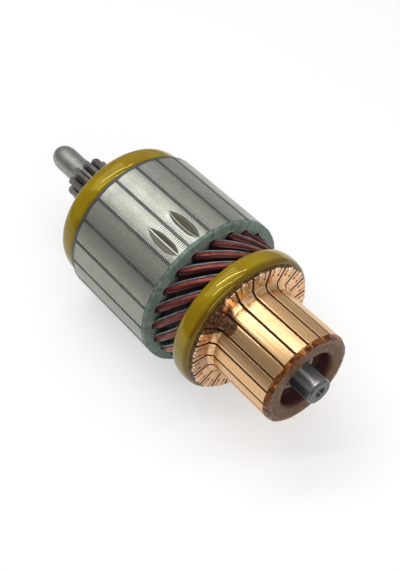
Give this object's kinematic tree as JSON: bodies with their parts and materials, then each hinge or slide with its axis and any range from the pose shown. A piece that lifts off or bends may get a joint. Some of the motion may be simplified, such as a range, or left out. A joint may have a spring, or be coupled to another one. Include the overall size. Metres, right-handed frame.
{
  "type": "starter motor armature",
  "caption": "Wound armature of a geared starter motor: slotted steel core, banded hairpin coils, moulded commutator with risers and a sun gear on its shaft.",
  "frame": {"origin": "on the shaft's axis, in the plane of the front edge of the brush track, inside the span of the commutator end journal", "axes": "+X along the shaft towards the commutator end; +Z through the first slot of the core; +Y completes a right-handed frame"},
  "size_m": [0.1872, 0.0736, 0.0736],
  "materials": {
    "shaft_steel": "turned",
    "core_steel": "stacked sheets, turned",
    "coat": "moulded coat",
    "moulding": "moulded resin",
    "bush": "plain",
    "bar_copper": "turned copper",
    "wire": "enamelled copper",
    "paper": "varnished",
    "band": "resin and glass thread"
  },
  "bodies": {
    "root": {"shaft": "shaft_steel", "lamination_core": "core_steel", "core_insulation": "coat", "commutator_hub": "moulding", "commutator_bush": "bush", "segment_01": "bar_copper", "segment_02": "bar_copper", "segment_03": "bar_copper", "segment_04": "bar_copper", "segment_05": "bar_copper", "segment_06": "bar_copper", "segment_07": "bar_copper", "segment_08": "bar_copper", "segment_09": "bar_copper", "segment_10": "bar_copper", "segment_11": "bar_copper", "segment_12": "bar_copper", "segment_13": "bar_copper", "segment_14": "bar_copper", "segment_15": "bar_copper", "segment_16": "bar_copper", "segment_17": "bar_copper", "segment_18": "bar_copper", "segment_19": "bar_copper", "segment_20": "bar_copper", "segment_21": "bar_copper", "coil_01": "wire", "coil_02": "wire", "coil_03": "wire", "coil_04": "wire", "coil_05": "wire", "coil_06": "wire", "coil_07": "wire", "coil_08": "wire", "coil_09": "wire", "coil_10": "wire", "coil_11": "wire", "coil_12": "wire", "coil_13": "wire", "coil_14": "wire", "coil_15": "wire", "coil_16": "wire", "coil_17": "wire", "coil_18": "wire", "coil_19": "wire", "coil_20": "wire", "coil_21": "wire", "layer_ring": "paper", "front_band": "band", "rear_band": "band"}
  },
  "joints": []
}
